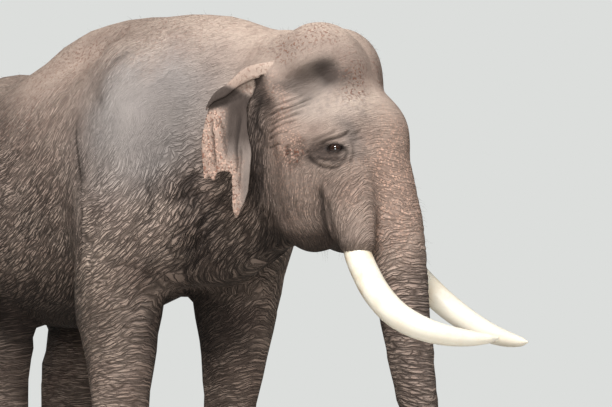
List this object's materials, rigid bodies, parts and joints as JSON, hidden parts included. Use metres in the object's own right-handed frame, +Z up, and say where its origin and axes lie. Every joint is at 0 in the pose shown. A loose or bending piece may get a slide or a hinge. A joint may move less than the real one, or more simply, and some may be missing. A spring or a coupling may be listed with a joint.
{
  "type": "asian elephant",
  "caption": "Still adult bull Asian elephant, standing square with its head turned left, long curved tusks, hanging trunk and one torn, folded ear.",
  "frame": {"origin": "on the floor, under the middle of the animal's whole box, tusks and tail included", "axes": "+X forward along the body, +Y to the animal's left, +Z up"},
  "size_m": [3.8332, 1.441, 2.855],
  "materials": {
    "hide": "dusty grey-brown wrinkled skin, matt",
    "leg_hide": "darker wrinkled skin, matt",
    "face_hide": "paler skin with pink flecks, matt",
    "ear_hide": "thin pinkish skin, matt",
    "ivory": "smooth off-white ivory, satin",
    "nail_horn": "dull worn horn",
    "eye": "wet dark brown eyeball"
  },
  "bodies": {
    "root": {"body": "hide", "ear_left": "ear_hide", "ear_right": "ear_hide", "eye_left": "eye", "eye_right": "eye", "fore_foot_left": "leg_hide", "fore_foot_right": "leg_hide", "fore_leg_left": "leg_hide", "fore_leg_right": "leg_hide", "fore_nail_left_1": "nail_horn", "fore_nail_left_2": "nail_horn", "fore_nail_left_3": "nail_horn", "fore_nail_left_4": "nail_horn", "fore_nail_left_5": "nail_horn", "fore_nail_right_1": "nail_horn", "fore_nail_right_2": "nail_horn", "fore_nail_right_3": "nail_horn", "fore_nail_right_4": "nail_horn", "fore_nail_right_5": "nail_horn", "head": "face_hide", "hind_foot_left": "leg_hide", "hind_foot_right": "leg_hide", "hind_leg_left": "leg_hide", "hind_leg_right": "leg_hide", "hind_nail_left_1": "nail_horn", "hind_nail_left_2": "nail_horn", "hind_nail_left_3": "nail_horn", "hind_nail_left_4": "nail_horn", "hind_nail_right_1": "nail_horn", "hind_nail_right_2": "nail_horn", "hind_nail_right_3": "nail_horn", "hind_nail_right_4": "nail_horn", "neck": "hide", "tail": "hide", "trunk_lower": "face_hide", "trunk_middle": "face_hide", "trunk_tip": "face_hide", "trunk_upper": "face_hide", "tusk_left": "ivory", "tusk_right": "ivory"}
  },
  "joints": []
}
